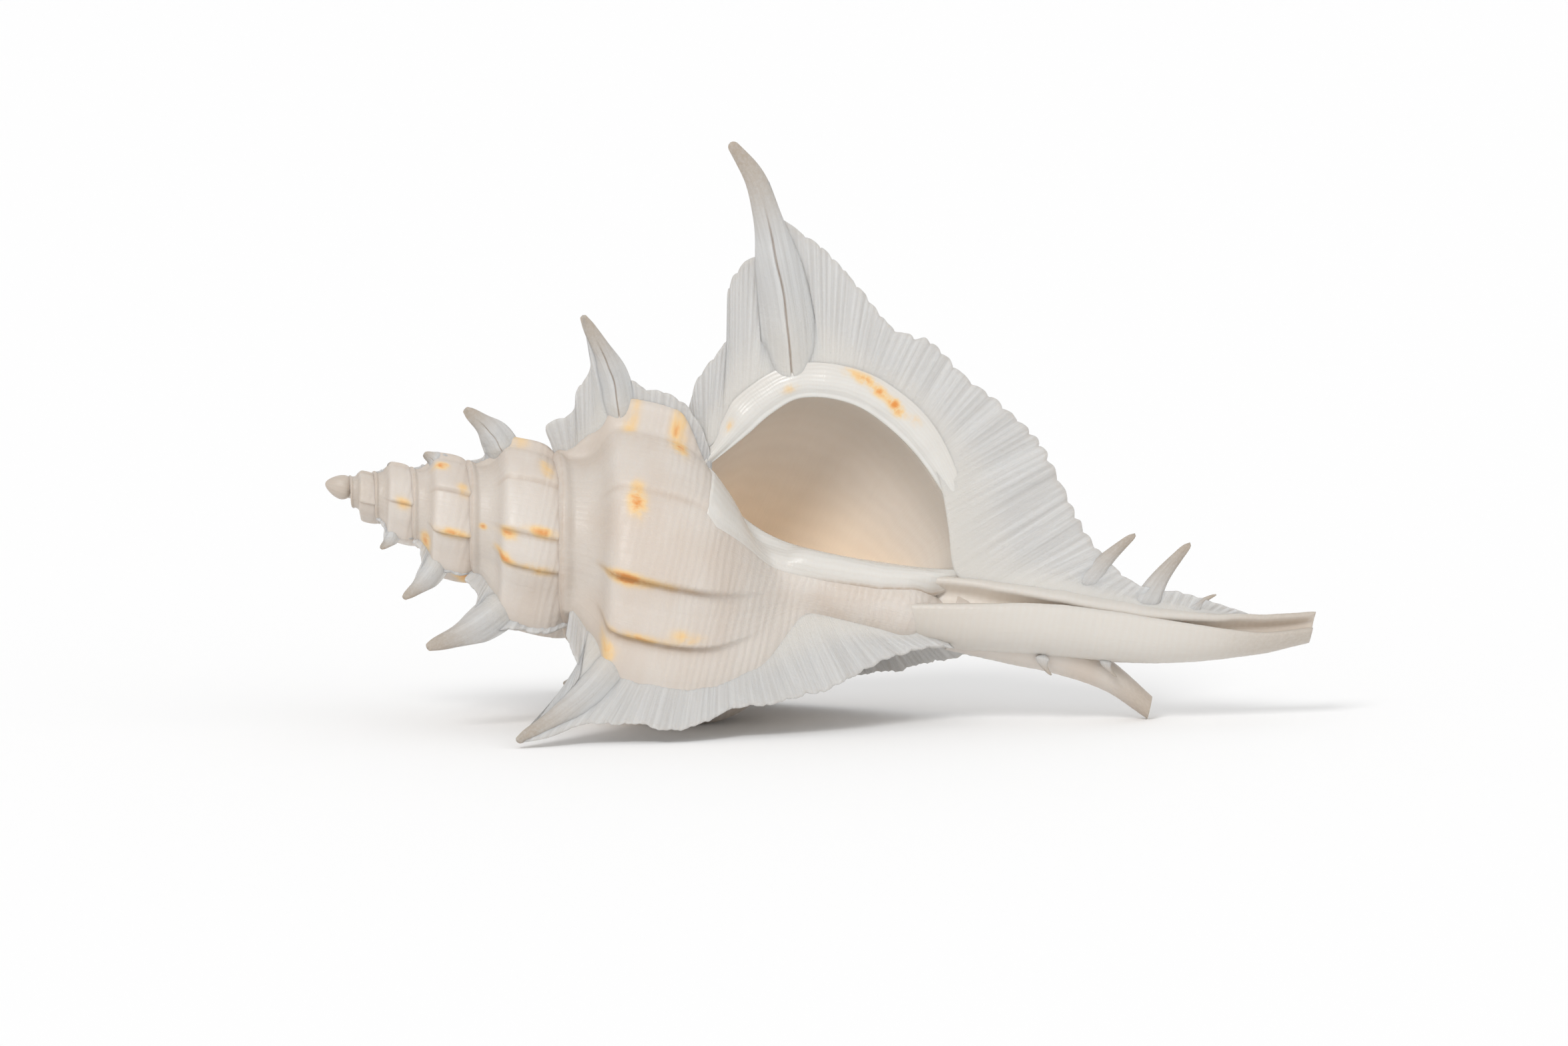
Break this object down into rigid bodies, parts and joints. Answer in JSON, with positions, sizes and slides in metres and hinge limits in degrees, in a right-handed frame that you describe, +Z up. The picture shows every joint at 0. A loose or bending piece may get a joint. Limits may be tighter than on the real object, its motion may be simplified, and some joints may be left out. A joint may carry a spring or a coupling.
{
  "type": "murex shell",
  "caption": "Empty spiral sea shell with winged, spined ridges, an open oval mouth and a long narrow canal, lying on its spines.",
  "frame": {"origin": "centre of the box's base, on the surface that the shell lies on", "axes": "+X towards the tip of the canal, -Y out of the mouth, +Z up along the newest wing"},
  "size_m": [0.1478, 0.0756, 0.0873],
  "materials": {
    "shell": "matt cream-white shell lime with soft orange blotches, satin inside the mouth"
  },
  "bodies": {
    "root": {"shell": "shell"}
  },
  "joints": []
}
